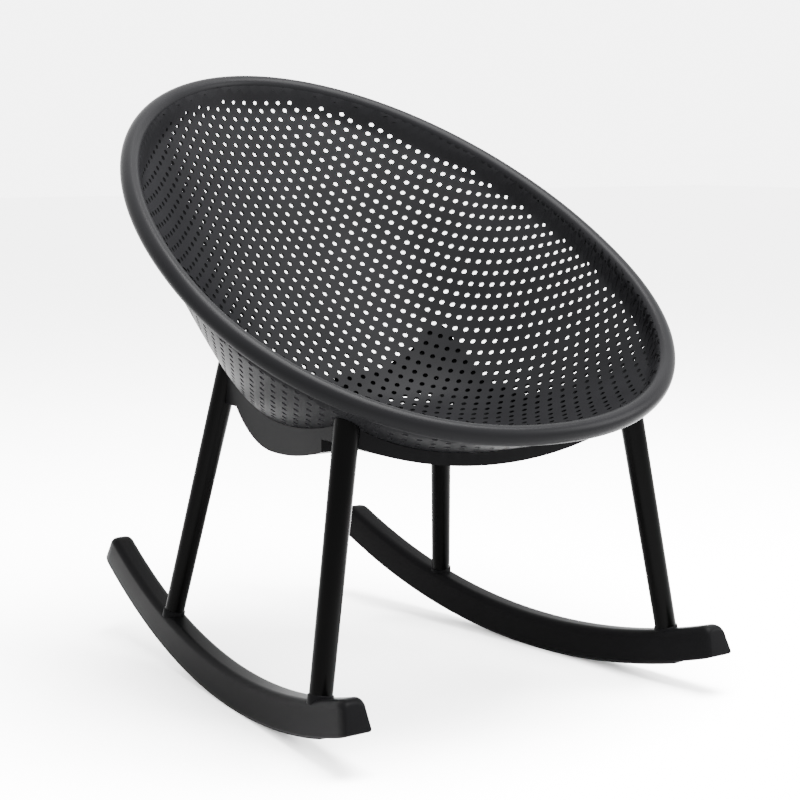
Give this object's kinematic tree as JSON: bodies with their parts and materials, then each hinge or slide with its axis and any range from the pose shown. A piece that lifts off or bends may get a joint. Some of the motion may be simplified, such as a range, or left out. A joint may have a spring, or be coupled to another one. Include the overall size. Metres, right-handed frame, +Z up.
{
  "type": "rocking chair",
  "caption": "Rocking chair with a tilted egg-shaped perforated plastic shell seat on a cradle ring, round tapered legs and curved rockers.",
  "frame": {"origin": "on the floor under the middle of the bounding box, in the chair's middle plane", "axes": "+Z up; -Y is the way the sitter faces; +X is the sitter's left; x = 0 is the middle plane"},
  "size_m": [0.6998, 0.7571, 0.7939],
  "materials": {
    "shell_plastic": "fine matt grain",
    "frame_plastic": "matt",
    "leg_coat": "satin",
    "sole_rubber": "matt",
    "screw_steel": "zinc plated",
    "insert_brass": "plain"
  },
  "bodies": {
    "root": {"seat_shell": "shell_plastic", "seat_cradle": "frame_plastic", "front_leg_left": "leg_coat", "front_leg_right": "leg_coat", "rear_leg_left": "leg_coat", "rear_leg_right": "leg_coat", "rocker_left": "frame_plastic", "rocker_right": "frame_plastic", "rocker_sole_left": "sole_rubber", "rocker_sole_right": "sole_rubber", "leg_bolts": "screw_steel", "leg_bolt_washers": "screw_steel", "leg_top_inserts": "insert_brass", "rocker_screws": "screw_steel", "leg_foot_inserts": "insert_brass", "shell_screws": "screw_steel", "shell_screw_washers": "screw_steel"}
  },
  "joints": []
}
